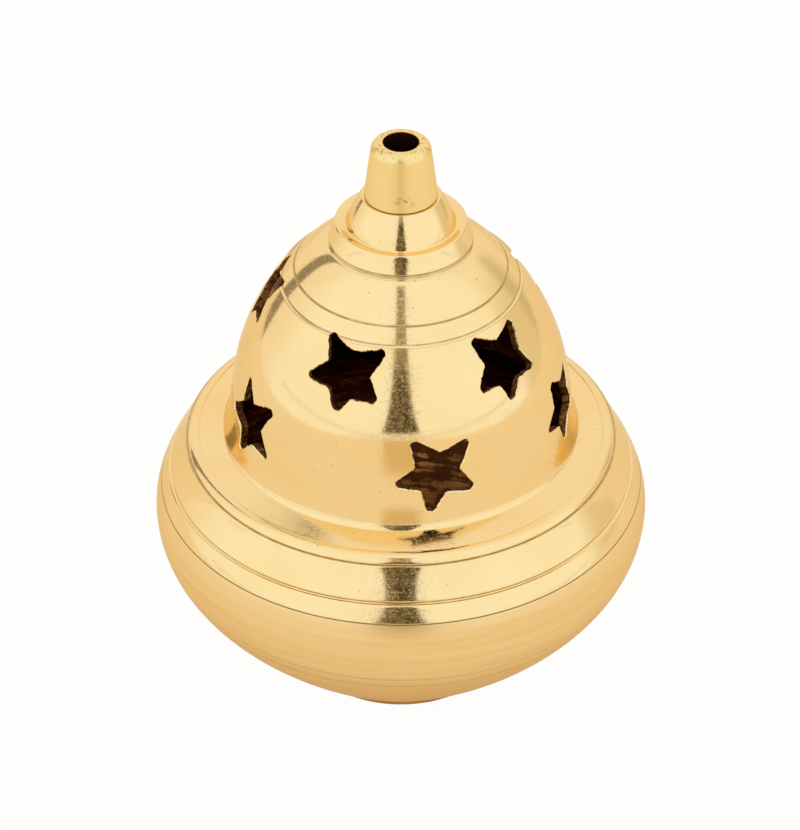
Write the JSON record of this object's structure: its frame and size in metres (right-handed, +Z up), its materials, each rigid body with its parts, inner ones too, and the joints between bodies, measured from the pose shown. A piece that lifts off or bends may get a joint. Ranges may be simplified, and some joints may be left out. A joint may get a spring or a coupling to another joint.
{
  "type": "incense burner",
  "caption": "Round footed brass incense burner with a lift-off domed lid pierced with stars, a hollow nozzle on top and a loose burner dish inside.",
  "frame": {"origin": "middle of the foot ring's underside, on the table", "axes": "+Z up along the turning axis; -Y is the front, the side that shows a star of the lower row just right of the middle"},
  "size_m": [0.0774, 0.0774, 0.0963],
  "materials": {
    "polished_brass": "lathe-polished, with fine turning lines",
    "satin_brass": "satin, brushed round the axis",
    "aged_brass": "dull and darkened by smoke"
  },
  "bodies": {
    "bowl": {"bowl_lower": "satin_brass", "bowl_shoulder": "polished_brass", "foot_ring": "satin_brass"},
    "lid": {"lid_dome": "polished_brass", "lid_register": "aged_brass", "finial_collar": "polished_brass", "nozzle": "polished_brass", "nozzle_nut": "aged_brass"},
    "burner": {"burner_dish": "aged_brass", "cone_holder": "aged_brass", "holder_washer": "aged_brass"}
  },
  "joints": [
    {"name": "lid_lift", "type": "slide", "parent": "bowl", "child": "lid", "axis": [0, 0, 1], "range_m": [0, 0.08]},
    {"name": "burner_lift", "type": "slide", "parent": "bowl", "child": "burner", "axis": [0, 0, 1], "range_m": [0, 0.042]}
  ]
}
